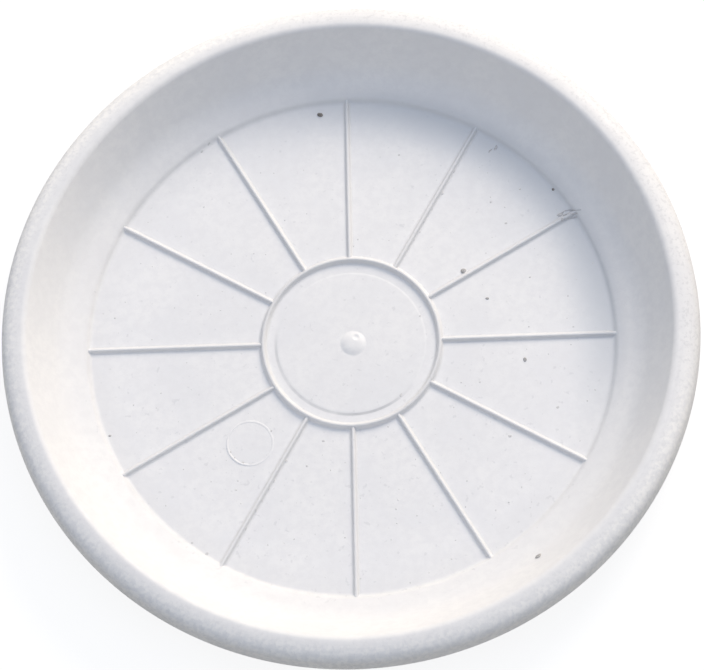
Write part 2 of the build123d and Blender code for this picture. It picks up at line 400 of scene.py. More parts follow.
def white_plastic():
    s = Shading("clouded_plastic")
    x, y, z = s.split()
    radius = s.math("SQRT", s.math("ADD", s.math("MULTIPLY", x, x), s.math("MULTIPLY", y, y)))
    cloud = s.ramp(s.noise(CLOUD_GRAIN, 4, 0.6, 0.4), 0.35, 0.7)
    colour = s.mix(cloud, PLASTIC, PLASTIC_CLOUD)
    mottle = s.ramp(s.noise(MOTTLE_GRAIN, 4, 0.7), 0.36, 0.66, 0.0, 0.75)
    colour = s.mix(mottle, colour, PLASTIC_MOTTLE)
    # Flecks gather where water stood, on the side of the floor that is nearest in the photograph
    lowland = s.ramp(y, 0.05, -0.09, 0.0, 0.045)
    patches = s.ramp(s.noise(PATCH_GRAIN, 2), 0.35, 0.7, 0.0, 0.05)
    fleck_limit = s.math("SUBTRACT", 0.72, s.math("ADD", lowland, patches))
    flecks = s.math("SUBTRACT", s.noise(FLECK_GRAIN, 1.5, 0.45), fleck_limit)
    flecks = s.ramp(flecks, 0.0, 0.09, 0.0, FLECK_AMOUNT)
    off_floor = s.ramp(radius, (floor_edge + 1) * MM, (floor_edge + 6) * MM, 1.0, 0.2)
    flecks = s.math("MULTIPLY", flecks, off_floor)
    colour = s.mix(flecks, colour, FLECK_AND_SHADE_GREY)
    # Painted shade towards the foot of the wall, most of it in the corner itself
    azimuth = s.math("ARCTAN2", y, x)
    upper_face = s.ramp(z, (floor_top - 0.6) * MM, (floor_top - 0.1) * MM)
    far_side = s.ramp(s.math("COSINE", s.math("SUBTRACT", azimuth, FAR_AZIMUTH)), 0.25, 0.9)
    off_crease = s.math("ABSOLUTE", s.math("SUBTRACT", radius, (floor_edge + CREASE_OUTSIDE) * MM))
    broken = s.ramp(s.noise(BREAKUP_GRAIN, 3), 0.3, 0.75, 0.35, 1.0)
    corner = s.math("MULTIPLY", s.ramp(off_crease, *CORNER_REACH, 0.0, CORNER_SHADE), broken)
    corner = s.math("MULTIPLY", corner, s.ramp(far_side, 0.0, 1.0, 1.0, 0.0))
    broad = s.ramp(off_crease, *BROAD_REACH, 0.0, BROAD_SHADE)
    # A bluish painted shadow on the far floor, where the rim and the wall keep it in shade
    far_shadow = s.ramp(radius, (floor_edge - FAR_SHADOW_INWARD) * MM, (floor_edge - 3) * MM, 0.0, FAR_SHADOW_AMOUNT)
    far_shadow_end = s.ramp(radius, (floor_edge + FAR_SHADOW_OUTWARD) * MM, (floor_edge - 1) * MM)
    far_shadow = s.math("MULTIPLY", far_shadow, far_shadow_end)
    far_shadow = s.math("MULTIPLY", s.math("MULTIPLY", far_shadow, far_side), upper_face)
    colour = s.mix(far_shadow, colour, FAR_SHADOW_BLUE)
    crease_shade = s.math("MULTIPLY", s.math("MAXIMUM", corner, broad), upper_face)
    colour = s.mix(crease_shade, colour, CREASE_SHADE_GREY)
    # Painted shade on the ring and the ribs, most of it in the corners at their feet. Ping-Pong turns the
    # azimuth, counted in ribs, into the distance from the nearest one
    in_ribs = s.math("PINGPONG", s.math("MULTIPLY", azimuth, len(RIB_NODES) / (2 * pi)), 0.5)
    off_rib = s.math("MULTIPLY", s.math("MULTIPLY", in_ribs, 2 * pi / len(RIB_NODES)), radius)
    off_ring = s.math("ABSOLUTE", s.math("SUBTRACT", radius, ring_radius * MM))
    past_ring = s.ramp(radius, (ring_radius - 1) * MM, (ring_radius + 1) * MM)
    rib_shade = s.math("MULTIPLY", s.ramp(off_rib, *RIB_REACH), past_ring)
    rib_shade = s.math("MULTIPLY", rib_shade, s.ramp(off_rib, 0.2 * MM, 0.7 * MM, CREST_SHARE, FOOT_SHARE))
    rib_shade = s.math("MULTIPLY", rib_shade, s.ramp(radius, (floor_edge + 0.2) * MM, (floor_edge - 0.6) * MM))
    ridge_shade = s.math("MAXIMUM", rib_shade, s.ramp(off_ring, *RING_REACH))
    ridge_shade = s.math("MULTIPLY", ridge_shade, upper_face)
    colour = s.mix(s.math("MULTIPLY", ridge_shade, RIDGE_SHADE), colour, CREASE_SHADE_GREY)
    # A line of painted shade along that side of the middle disc which faces away from the lamp
    away = s.math("COSINE", s.math("SUBTRACT", azimuth, KEY_AZIMUTH + pi))
    off_disc = s.math("ABSOLUTE", s.math("SUBTRACT", radius, (panel_radius + LINE_OUTSIDE) * MM))
    disc_shade = s.math("MULTIPLY", s.ramp(off_disc, *LINE_REACH), upper_face)
    disc_shade = s.math("MULTIPLY", disc_shade, s.ramp(away, 0.1, 0.75, 0.0, DISC_SHADE_LINE))
    disc_shade = s.math("MULTIPLY", disc_shade, broken)
    colour = s.mix(disc_shade, colour, FLECK_AND_SHADE_GREY)
    # Painted light makes the rim paler in patches on its near side. Fine lines and grains run round the rim,
    # stronger on its far side, where the rim is also made darker overall
    lines_place = s.join(radius, z, s.math("MULTIPLY", azimuth, 0.004))
    lines = s.noise(LINE_GRAIN, 3, 0.6, at=lines_place)
    near_rim = s.math("MULTIPLY", s.ramp(radius, *NEAR_RIM_BAND), s.ramp(far_side, 0.0, 1.0, 1.0, 0.0))
    near_rim_light = s.math("MULTIPLY", s.ramp(s.noise(NEAR_RIM_LIGHT_GRAIN, 2), 0.40, 0.62, 0.35, 1.0), near_rim)
    colour = s.mix(near_rim_light, colour, NEAR_RIM_LIGHT_TONE)
    grains = s.ramp(s.noise(GRIME_GRAIN, 2), 0.5, 0.68, 0.0, RIM_GRAINS)
    rim_marks_and_darkening = s.math("MAXIMUM", s.ramp(lines, 0.50, 0.72, 0.0, RIM_LINES), grains)
    rim_marks_and_darkening = s.math("ADD", rim_marks_and_darkening, s.math("MULTIPLY", far_side, FAR_RIM_DARKENING))
    on_rim = s.math("MULTIPLY", s.ramp(radius, *RIM_MARK_BAND), s.ramp(far_side, 0.0, 1.0, 0.5, 1.0))
    colour = s.mix(s.math("MULTIPLY", rim_marks_and_darkening, on_rim), colour, FLECK_AND_SHADE_GREY)
    sheen = s.ramp(s.noise(SHEEN_GRAIN, 3), 0.3, 0.7, SHARPEST, DULLEST)
    roughness = s.math("ADD", sheen, s.math("MULTIPLY", flecks, 0.3))
    skin = s.bump(s.noise(SKIN_GRAIN, 2, 0.5), 0.10, 0.15 * MM)
    sag = s.bump(s.noise(SAG_GRAIN, 2, 0.5), 0.25, 0.25 * MM, skin)
    s.shader.inputs["Specular IOR Level"].default_value = SHINE
    return s.finish(colour, roughness, sag)


plastic = white_plastic()
print("material", plastic.name, "with", len(plastic.node_tree.nodes), "nodes")

# %% [markdown]
# Every round zone is a section carried round the axis. Geometry Nodes do that with Curve to Mesh: the rail
# is a circle, and the profile is the section drawn as a curve. The tree first moves the section in by the
# rail's radius and turns it over, because the profile's Y axis points down on a circle like this one.
# Merge by Distance closes the poles of those pieces that reach the axis. One tree serves eight pieces.

# %% Helpers that begin and end a shape's tree


def new_tree(name, first, kinds):
    """A Geometry Nodes tree that takes one geometry and some named values and gives a mesh."""
    tree = bpy.data.node_groups.new(name, "GeometryNodeTree")
    face = tree.interface
    face.new_socket(first, in_out="INPUT", socket_type="NodeSocketGeometry")
    sockets = {key: face.new_socket(key, in_out="INPUT", socket_type="NodeSocket" + kind)
               for key, kind in kinds.items()}
    face.new_socket("Mesh", in_out="OUTPUT", socket_type="NodeSocketGeometry")
    identifiers = {key: socket.identifier for key, socket in sockets.items()}
    return tree, tree.nodes.new("NodeGroupInput").outputs, identifiers


def give_painted(tree, given, last):
    """Every tree ends alike: instances are made real, the finish is set and the mesh is handed out."""
    real = add_node(tree, "GeometryNodeRealizeInstances", {"Geometry": last})
    painted = add_node(tree, "GeometryNodeSetMaterial", {"Geometry": real, "Material": given["Finish"]})
    add_node(tree, "NodeGroupOutput", {"Mesh": painted})


def upright(tree, curve):
    return add_node(tree, "GeometryNodeSetCurveNormal", {"Curve": curve}, mode="Z_UP")


# %% Tree that turns a section
RAIL_RADIUS = 100 * MM
POLE_GAP = 0.002 * MM
TURNED_OVER = (1, -1, 1)


def turning_tree():
    tree, given, inputs = new_tree("turn_section", "Section", {"Steps Around": "Int", "Finish": "Material"})
    moved_in = {"Geometry": given["Section"], "Translation": (-RAIL_RADIUS, 0, 0), "Scale": TURNED_OVER}
    profile = add_node(tree, "GeometryNodeTransform", moved_in)
    round_rail = {"Resolution": given["Steps Around"], "Radius": RAIL_RADIUS}
    rail = upright(tree, add_node(tree, "GeometryNodeCurvePrimitiveCircle", round_rail))
    sweep = add_node(tree, "GeometryNodeCurveToMesh", {"Curve": rail, "Profile Curve": profile})
    weld = add_node(tree, "GeometryNodeMergeByDistance", {"Geometry": sweep, "Distance": POLE_GAP})
    give_painted(tree, given, add_node(tree, "GeometryNodeSetShadeSmooth", {"Geometry": weld}))
    return tree, inputs


turn_section, turn_inputs = turning_tree()
print("turning tree takes", list(turn_inputs))

# %% Helpers that draw a curve, run a tree on it and keep the plain mesh
SHARP_ANGLE = radians(26)
STEPS_AROUND, RING_STEPS, MARK_STEPS = 360, 240, 128
pieces = {}


def drawn_curve(name, points, closed):
    """A poly curve in its own XY plane from points in millimetres."""
    data = bpy.data.curves.new(name, "CURVE")
    data.dimensions = "3D"
    spline = data.splines.new("POLY")
    spline.points.add(len(points) - 1)
    for target, point in zip(spline.points, points):
        target.co = (point[0] * MM, point[1] * MM, 0, 1)
    spline.use_cyclic_u = closed
    holder = bpy.data.objects.new(name, data)
    bpy.context.scene.collection.objects.link(holder)
    return holder


def plain_mesh(holder, tree, values, name):
    """Run a Geometry Nodes tree on an object, return the result as a plain mesh and remove the object."""
    modifier = holder.modifiers.new(tree.name, "NODES")
    modifier.node_group = tree
    for identifier, value in values.items():
        modifier[identifier] = value
    shown = holder.evaluated_get(bpy.context.evaluated_depsgraph_get())
    mesh = bpy.data.meshes.new_from_object(shown)
    mesh.name = name
    source = holder.data
    holder.modifiers.clear()
    bpy.data.objects.remove(holder)
    if source.users == 0 and isinstance(source, bpy.types.Curve):
        bpy.data.curves.remove(source)
    return mesh


def close_and_point_out(mesh):
    """Recalculate the faces' direction, and say how large the solid is and whether it is closed."""
    work = bmesh.new()
    work.from_mesh(mesh)
    bmesh.ops.recalc_face_normals(work, faces=work.faces)
    if work.calc_volume(signed=True) < 0:
        bmesh.ops.reverse_faces(work, faces=work.faces)
    open_edges = sum(1 for edge in work.edges if len(edge.link_faces) != 2)
    volume = work.calc_volume(signed=True)
    work.to_mesh(mesh)
    work.free()
    return volume, open_edges


def keep(mesh, name, nodes, sharp=SHARP_ANGLE):
    """Turn a mesh into a finished piece of the saucer that stands for its CAD nodes."""
    volume, open_edges = close_and_point_out(mesh)
    mesh.shade_smooth()
    mesh.set_sharp_from_angle(angle=sharp)
    piece = bpy.data.objects.new(name, mesh)
    bpy.context.scene.collection.objects.link(piece)
    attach(piece, BODY)
    if nodes:
        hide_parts(*nodes)
    pieces[name] = piece
    print(f"{name}: {len(mesh.polygons)} faces, {volume * 1e9:.0f} cubic mm, {open_edges} open edges")
    return piece


def turned_piece(name, points, nodes, closed=True, steps=STEPS_AROUND):
    holder = drawn_curve(name + "_section", points, closed)
    values = {turn_inputs["Steps Around"]: steps, turn_inputs["Finish"]: plastic}
    return keep(plain_mesh(holder, turn_section, values, name), name, nodes)


# %% [markdown]
# The section is a chain of points, as (distance from the axis, height) in millimetres. Arcs are cut into
# short chords. Where two pieces meet on a curved face, each ends in one very short chord along the common
# tangent, so both shade alike there and the seam does not show: on the real saucer there is none.

# %% Points of the section


def around(centre, radius, angle):
    return (centre[0] + radius * cos(radians(angle)), centre[1] + radius * sin(radians(angle)))


def arc(centre, radius, start, end, chord=4.0):
    count = max(2, round(abs(end - start) / chord))
    return [around(centre, radius, start + (end - start) * i / count) for i in range(count + 1)]


def moved(point, slope, distance):
    return (point[0] + distance * cos(radians(slope)), point[1] + distance * sin(radians(slope)))


def rounded(corner, slope_before, slope_after, reach, count=5):
    """A corner of the section eased by a curve that leaves both lines at the same distance from it."""
    start, end = moved(corner, slope_before, -reach), moved(corner, slope_after, reach)
    points = []
    for i in range(count + 1):
        t = i / count
        weights = ((1 - t) ** 2, 2 * t * (1 - t), t ** 2)
        points.append(tuple(sum(w * p[k] for w, p in zip(weights, (start, corner, end))) for k in (0, 1)))
    return points


SEAM_RUN = 0.02

# %% Rim, wall and step, from the widest circle inwards
widest = (outer_radius, rim_crown - RIM_DROP)
corner_lift = (RIM_TOP_RADIUS - RIM_CORNER_RADIUS) * cos(radians(RIM_TOP_SLOPE))
corner_height = rim_crown - RIM_TOP_RADIUS + corner_lift
skirt_top_height = corner_height + RIM_CORNER_RADIUS * sin(radians(SKIRT_DRAFT))
skirt_top = (outer_radius - (skirt_top_height - widest[1]) * tan(radians(SKIRT_DRAFT)), skirt_top_height)
corner_centre = around(skirt_top, RIM_CORNER_RADIUS, SKIRT_DRAFT + 180)
top_end = 90 - RIM_TOP_SLOPE
top_centre = around(corner_centre, RIM_TOP_RADIUS - RIM_CORNER_RADIUS, top_end + 180)
shoulder_centre = (top_centre[0], rim_crown - SHOULDER_RADIUS)
shoulder_start = 90 + WALL_SLOPE
wall_head = around(shoulder_centre, SHOULDER_RADIUS, shoulder_start)

wall_side, apron_side = WALL_SLOPE - 90, APRON_SLOPE - 90
apron_rise = APRON_WIDTH * tan(radians(APRON_SLOPE))
bend_rise = BEND_RADIUS * (cos(radians(APRON_SLOPE)) - cos(radians(WALL_SLOPE)))
straight_rise = wall_head[1] - floor_top - STEP_HEIGHT - apron_rise - bend_rise
bend_top = (wall_head[0] - straight_rise / tan(radians(WALL_SLOPE)), wall_head[1] - straight_rise)
bend_centre = around(bend_top, BEND_RADIUS, wall_side + 180)
bend_foot = around(bend_centre, BEND_RADIUS, apron_side)
step_top = (bend_foot[0] - APRON_WIDTH, bend_foot[1] - apron_rise)
step_foot = (step_top[0] - STEP_HEIGHT / tan(radians(STEP_SLOPE)), floor_top)
print("step foot at", round(step_foot[0], 2), "and the frame's floor edge at", floor_edge)

# %% [markdown]
# The wall: a low step, a shallow apron, a bend and a straight slope. The step's two corners are eased as
# a mould eases them, because a knife-sharp corner would catch no light at all. The underside follows at
# an even 1.8 mm, as it does in a moulding that has to cool evenly.

# %% Wall
STEP_EASE = 0.95
WALL_ON_FLOOR = 1.0


def below(corner, slope_before, slope_after):
    reach = THICKNESS / cos(radians(slope_after - slope_before) / 2)
    return around(corner, reach, (slope_before + slope_after) / 2 - 90)


def wall_section():
    outer_bend = BEND_RADIUS + THICKNESS
    start = (floor_edge - WALL_ON_FLOOR, floor_top)
    inner = [start, moved(start, 0, SEAM_RUN)]
    inner += rounded(step_foot, 0, STEP_SLOPE, STEP_EASE)
    inner += rounded(step_top, STEP_SLOPE, APRON_SLOPE, STEP_EASE)
    inner += arc(bend_centre, BEND_RADIUS, apron_side, wall_side, 3.0)
    inner += [moved(wall_head, WALL_SLOPE, -SEAM_RUN), wall_head]
    head_below = around(wall_head, THICKNESS, wall_side)
    outer = [head_below] + arc(bend_centre, outer_bend, wall_side, apron_side, 3.0)
    outer += [below(step_top, STEP_SLOPE, APRON_SLOPE), below(step_foot, 0, STEP_SLOPE)]
    outer += [(floor_edge - WALL_ON_FLOOR, floor_under)]
    return inner + outer


turned_piece("sloping_wall", wall_section(), ["side_wall"])

# %% [markdown]
# The rim is the wall rolled over. It is tight towards the dish, nearly flat on top and tight again at the
# outer corner, and it hangs down in a short straight skirt. It is open beneath: a solid lump would look
# right from above and wrong from every other side. The skirt's lower edge is a small half round.

# %% Rolled rim and skirt


def rim_section():
    top = [wall_head, moved(wall_head, WALL_SLOPE, SEAM_RUN)]
    top += arc(shoulder_centre, SHOULDER_RADIUS, shoulder_start, 90, 5.0)[1:]
    top += arc(top_centre, RIM_TOP_RADIUS, 90, top_end, 3.0)[1:]
    top += arc(corner_centre, RIM_CORNER_RADIUS, top_end, SKIRT_DRAFT, 5.0)[1:-1]
    top += [moved(skirt_top, SKIRT_DRAFT - 90, -SEAM_RUN), skirt_top]
    under = [around(skirt_top, THICKNESS, SKIRT_DRAFT + 180)]
    under += arc(corner_centre, RIM_CORNER_RADIUS - THICKNESS, SKIRT_DRAFT, top_end, 7.0)[1:]
    under += arc(top_centre, RIM_TOP_RADIUS - THICKNESS, top_end, 90, 4.0)[1:]
    under += arc(shoulder_centre, SHOULDER_RADIUS - THICKNESS, 90, shoulder_start, 8.0)[1:]
    return top + under


def skirt_section():
    down = SKIRT_DRAFT - 90
    run = (widest[1] - skirt_top[1]) / sin(radians(down))
    inner_top = around(skirt_top, THICKNESS, SKIRT_DRAFT + 180)
    outer_low = moved(skirt_top, down, run)
    inner_low = moved(inner_top, down, run)
    ease = SKIRT_EDGE_RADIUS
    low = widest[1] - ease
    outer_centre = (outer_radius - ease, widest[1])
    inner_centre = (inner_low[0] + ease, widest[1])
    points = [skirt_top, moved(skirt_top, down, SEAM_RUN)]
    points += arc(outer_centre, ease, SKIRT_DRAFT / 2, -90, 15.0)
    points += arc(inner_centre, ease, -90, -180, 15.0)
    points += [inner_top]
    print("skirt from", round(skirt_top[1], 2), "down to", round(low, 2), "edge", round(outer_low[0], 2))
    return points


turned_piece("rim_roll", rim_section(), ["rolled_rim"])
turned_piece("hanging_skirt", skirt_section(), ["rim_skirt"])

# %% [markdown]
# The floor is a plate with a disc in its middle that stands a touch higher, its edge worn soft. The stub
# of the moulding gate is a low dome on it, and the gate broke off beside the dome's top and left a small
# hollow there. It isn't turned, because of that hollow, so its top is a height at every point instead.

# %% Floor, middle disc and gate stub
PANEL_BEVEL = 0.7
PANEL_SOFTENED = 0.16
PANEL_EASE = 0.4
PANEL_BEVEL_SLOPE = 168
NUB_SPREAD = 0.9
NUB_PLACE = (0.6, -0.3)
HOLLOW_PLACE = (1.7, 1.8)
HOLLOW_RADIUS = 1.5
HOLLOW_DEPTH = 0.42
worn_top = panel_top - PANEL_SOFTENED


def floor_section():
    inner, outer = panel_radius, floor_edge - WALL_ON_FLOOR
    return [(inner, floor_under), (outer, floor_under), (outer, floor_top), (inner, floor_top)]


def disc_section():
    edge = panel_radius - PANEL_BEVEL
    points = [(0, floor_under), (panel_radius, floor_under), (panel_radius, floor_top)]
    points += rounded((edge, worn_top), PANEL_BEVEL_SLOPE, 180, PANEL_EASE, 4)
    return points + [(nub_radius, worn_top), (0, worn_top)]


def nub_height(x, y):
    """Height of the dome above the disc, with the hollow taken out of it."""
    spread = nub_radius + NUB_SPREAD
    off = min(1.0, ((x - NUB_PLACE[0]) ** 2 + (y - NUB_PLACE[1]) ** 2) ** 0.5 / spread)
    dome = (nub_top - worn_top) * (1 - off ** 3) ** 1.5
    aside = ((x - HOLLOW_PLACE[0]) ** 2 + (y - HOLLOW_PLACE[1]) ** 2) ** 0.5 / HOLLOW_RADIUS
    return dome - HOLLOW_DEPTH * (1 - min(1.0, aside) ** 2) ** 2


def on_disc(x, y, height):
    return (x * MM, y * MM, (worn_top + height) * MM)


def nub_mesh(rings=34, spokes=96, sink=0.3):
    """A dome as rings of points round one top point, closed below by a flat fan."""
    work = bmesh.new()
    rows = []
    for ring in range(1, rings + 1):
        distance = (nub_radius + NUB_SPREAD) * ring / rings
        flat = [around(NUB_PLACE, distance, 360 * i / spokes) for i in range(spokes)]
        rows.append([work.verts.new(on_disc(x, y, nub_height(x, y))) for x, y in flat])
    rows.append([work.verts.new((v.co.x, v.co.y, (worn_top - sink) * MM)) for v in rows[-1]])
    top = work.verts.new(on_disc(*NUB_PLACE, nub_height(*NUB_PLACE)))
    low = work.verts.new(on_disc(*NUB_PLACE, -sink))
    for i in range(spokes):
        j = (i + 1) % spokes
        work.faces.new((top, rows[0][i], rows[0][j]))
        work.faces.new((low, rows[-1][j], rows[-1][i]))
        for inner, outer in zip(rows, rows[1:]):
            work.faces.new((inner[i], outer[i], outer[j], inner[j]))
    mesh = bpy.data.meshes.new("gate_stub")
    work.to_mesh(mesh)
    work.free()
    mesh.materials.append(plastic)
    return mesh


turned_piece("dish_floor", floor_section(), ["floor_plate"])
turned_piece("middle_disc", disc_section(), ["centre_panel"], closed=False)
keep(nub_mesh(), "gate_stub", ["gate_nub"])

# %% [markdown]
# The ring and the ribs are drawn alike: sloping flanks, a narrow crest, eased shoulders and a small hollow
# at the foot, where a mould never leaves a knife line. The ring is the bolder of the two and stands
# higher. The section reaches below the floor's face, so the flanks grow out of the floor.

# %% Section of the ring and the ribs
RIDGE_SINK = 0.35
SHOULDER_EASE = 0.34
SOFT_FOOT = 0.5


def ridge_section(middle, crest_height, foot_width, crest_width):
    foot, crest = foot_width / 2, crest_width / 2
    slope = degrees(atan2(crest_height - floor_top, foot - crest))
    left = rounded((-foot, floor_top), 0, slope, SOFT_FOOT, 3)
    left += rounded((-crest, crest_height), slope, 0, SHOULDER_EASE, 3)
    right = [(-x, y) for x, y in reversed(left)]
    under = [(foot + SOFT_FOOT, floor_top - RIDGE_SINK), (-foot - SOFT_FOOT, floor_top - RIDGE_SINK)]
    return [(middle + x, y) for x, y in left + right + under]


ring_section = ridge_section(ring_radius, ring_crest, RING_FOOT_WIDTH, RING_CREST_WIDTH)
turned_piece("middle_ring", ring_section, ["centre_ring"], steps=RING_STEPS)

# %% [markdown]
# Twelve ribs are one rib, repeated. A tree draws a straight line from the ring to the wall, sweeps the
# ridge's section along it, stands a copy on each of twelve points and turns each by its share of a circle.
# Realize Instances makes them real, because an instance has no mesh of its own to export. The inner ends
# start under the ring's crest and the outer ends stop inside the step, so no end face shows.

# %% Tree that repeats a rib


def rib_tree():
    kinds = {"Ribs": "Int", "Start": "Float", "End": "Float", "Finish": "Material"}
    tree, given, inputs = new_tree("repeat_rib", "Section", kinds)
    ends = {name: add_node(tree, "ShaderNodeCombineXYZ", {"X": given[name]}) for name in ("Start", "End")}
    line = upright(tree, add_node(tree, "GeometryNodeCurvePrimitiveLine", ends))
    flipped = {"Geometry": given["Section"], "Scale": TURNED_OVER}
    profile = add_node(tree, "GeometryNodeTransform", flipped)
    swept = {"Curve": line, "Profile Curve": profile, "Fill Caps": True}
    rib = add_node(tree, "GeometryNodeCurveToMesh", swept)
    points = add_node(tree, "GeometryNodePoints", {"Count": given["Ribs"]})
    share = add_node(tree, "ShaderNodeMath", {0: 2 * pi, 1: given["Ribs"]}, operation="DIVIDE")
    number = add_node(tree, "GeometryNodeInputIndex")
    angle = add_node(tree, "ShaderNodeMath", {0: number, 1: share}, operation="MULTIPLY")
    turn = add_node(tree, "ShaderNodeCombineXYZ", {"Z": angle})
    standing = {"Points": points, "Instance": rib, "Rotation": turn}
    give_painted(tree, given, add_node(tree, "GeometryNodeInstanceOnPoints", standing))
    return tree, inputs


# %% Twelve ribs
RIB_UNDER_RING, RIB_INTO_STEP = 0.2, 1.05
repeat_rib, rib_inputs = rib_tree()
rib_section = ridge_section(0, rib_crest, RIB_FOOT_WIDTH, RIB_CREST_WIDTH)
rib_holder = drawn_curve("rib_section", rib_section, closed=True)
rib_values = {
    rib_inputs["Ribs"]: len(RIB_NODES),
    rib_inputs["Start"]: (ring_radius + RIB_UNDER_RING) * MM,
    rib_inputs["End"]: (floor_edge + RIB_INTO_STEP) * MM,
    rib_inputs["Finish"]: plastic,
}
rib_mesh = plain_mesh(rib_holder, repeat_rib, rib_values, "radial_ribs")
keep(rib_mesh, "radial_ribs", RIB_NODES)

# %% [markdown]
# The fine circle on the floor is a mould mark, and its inside is left bare. Most of it is worn low and only
# its lower left still stands up. It is turned about its own middle, and its mesh is then moved to its place
# between two ribs, because a finished piece's object has to stay at the origin.

# %% Mould mark
MARK_FOOT_WIDTH = 0.9
MARK_CREST_WIDTH = 0.4
MARK_SINK = 0.2
MARK_ROUND = (0.05, 0.04)
MARK_LEFT = 0.35
MARK_WHOLE_SIDE = radians(215)
mark_low, mark_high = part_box("mould_mark")
mark_middle = ((mark_low[0] + mark_high[0]) / 2, (mark_low[1] + mark_high[1]) / 2, 0)
mark_radius = (mark_high[0] - mark_low[0]) / 2 / MM - MARK_FOOT_WIDTH / 2
mark_crest = mark_high[2] / MM


def mark_section():
    foot, crest = MARK_FOOT_WIDTH / 2, MARK_CREST_WIDTH / 2
    across, down = MARK_ROUND
    side = [(-foot, floor_top), (-crest - across, mark_crest - down), (-crest + across, mark_crest)]
    other = [(-x, y) for x, y in reversed(side)]
    under = [(foot, floor_top - MARK_SINK), (-foot, floor_top - MARK_SINK)]
    return [(mark_radius + x, y) for x, y in side + other + under]


mark_holder = drawn_curve("mark_section", mark_section(), closed=True)
mark_values = {turn_inputs["Steps Around"]: MARK_STEPS, turn_inputs["Finish"]: plastic}
mark_mesh = plain_mesh(mark_holder, turn_section, mark_values, "bare_circle")
for vertex in mark_mesh.vertices:
    above = vertex.co.z - floor_top * MM
    if above > 0:
        near = max(0.0, cos(atan2(vertex.co.y, vertex.co.x) - MARK_WHOLE_SIDE))
        vertex.co.z -= above * (1 - MARK_LEFT) * (1 - near ** 1.5)
mark_mesh.transform(Matrix.Translation(mark_middle))
keep(mark_mesh, "bare_circle", ["mould_mark"])

# %% [markdown]
# The saucer stands on a low ring under its floor. It cannot be seen in the photograph, but a view from
# below shows it, so it gets the same eased edges and the same finish.

# %% Foot ring
FOOT_WIDTH = 2.5
FOOT_CREST_WIDTH = 1.7
FOOT_SINK = 0.3
FOOT_EASE = 0.3


def foot_section():
    middle = foot_outer - FOOT_WIDTH / 2
    foot, crest = FOOT_WIDTH / 2, FOOT_CREST_WIDTH / 2
    slope = degrees(atan2(floor_under, foot - crest))
    side = [(-foot, floor_under)] + rounded((-crest, 0), -slope, 0, FOOT_EASE, 3)
    other = [(-x, y) for x, y in reversed(side)]
    above = [(foot, floor_under + FOOT_SINK), (-foot, floor_under + FOOT_SINK)]
    return [(middle + x, y) for x, y in side + other + above]


turned_piece("standing_ring", foot_section(), ["foot_ring"])

# %% [markdown]
# A saucer that has been used is never clean. The larger grains of soil lie where the photograph has them:
# a ray goes from the camera through that point of the picture, and the grain is set on the face it meets,
# turned to that face and sunk a little, so it rests there from any other side too.

# %% Find the face behind a point of the picture
CARRIERS = ("dish_floor", "middle_disc", "sloping_wall", "rim_roll", "middle_ring", "radial_ribs")


def joined_surface(names):
    points, faces = [], []
    for name in names:
        mesh = pieces[name].data
        first = len(points)
        points += [vertex.co.copy() for vertex in mesh.vertices]
        faces += [[first + i for i in face.vertices] for face in mesh.polygons]
    return BVHTree.FromPolygons(points, faces)


def behind(across, down):
    """Point and normal of the saucer behind a point of the picture, in pixels from its upper left corner."""
    right, up, back = look_axes()
    aside, above = across - FRAME_WIDTH / 2, FRAME_HEIGHT / 2 - down
    towards = (right * aside + up * above) / FOCAL_PIXELS - back
    place, normal, _, _ = surface.ray_cast(camera_matrix.translation, towards.normalized())
    return place, (normal if normal.dot(towards) < 0 else -normal)


surface = joined_surface(CARRIERS)
print("the picture's middle lies over", [round(v / MM, 1) for v in behind(352, 335)[0]])

# %% Soil, silt and fibre finishes


def soil_material(name, dark, pale, roughness):
    s = Shading(name)
    tone = s.ramp(s.noise(2500, 2), 0.35, 0.65)
    return s.finish(s.mix(tone, dark, pale), roughness)


soil = soil_material("dry_soil", (0.14, 0.13, 0.12, 1), (0.30, 0.28, 0.26, 1), 0.9)
crumb = soil_material("grey_crumb", (0.33, 0.325, 0.32, 1), (0.52, 0.515, 0.51, 1), 0.9)
silt = soil_material("pale_silt", (0.58, 0.58, 0.58, 1), (0.72, 0.72, 0.72, 1), 0.8)
fibre = soil_material("grey_fibre", (0.44, 0.44, 0.45, 1), (0.62, 0.62, 0.63, 1), 0.8)

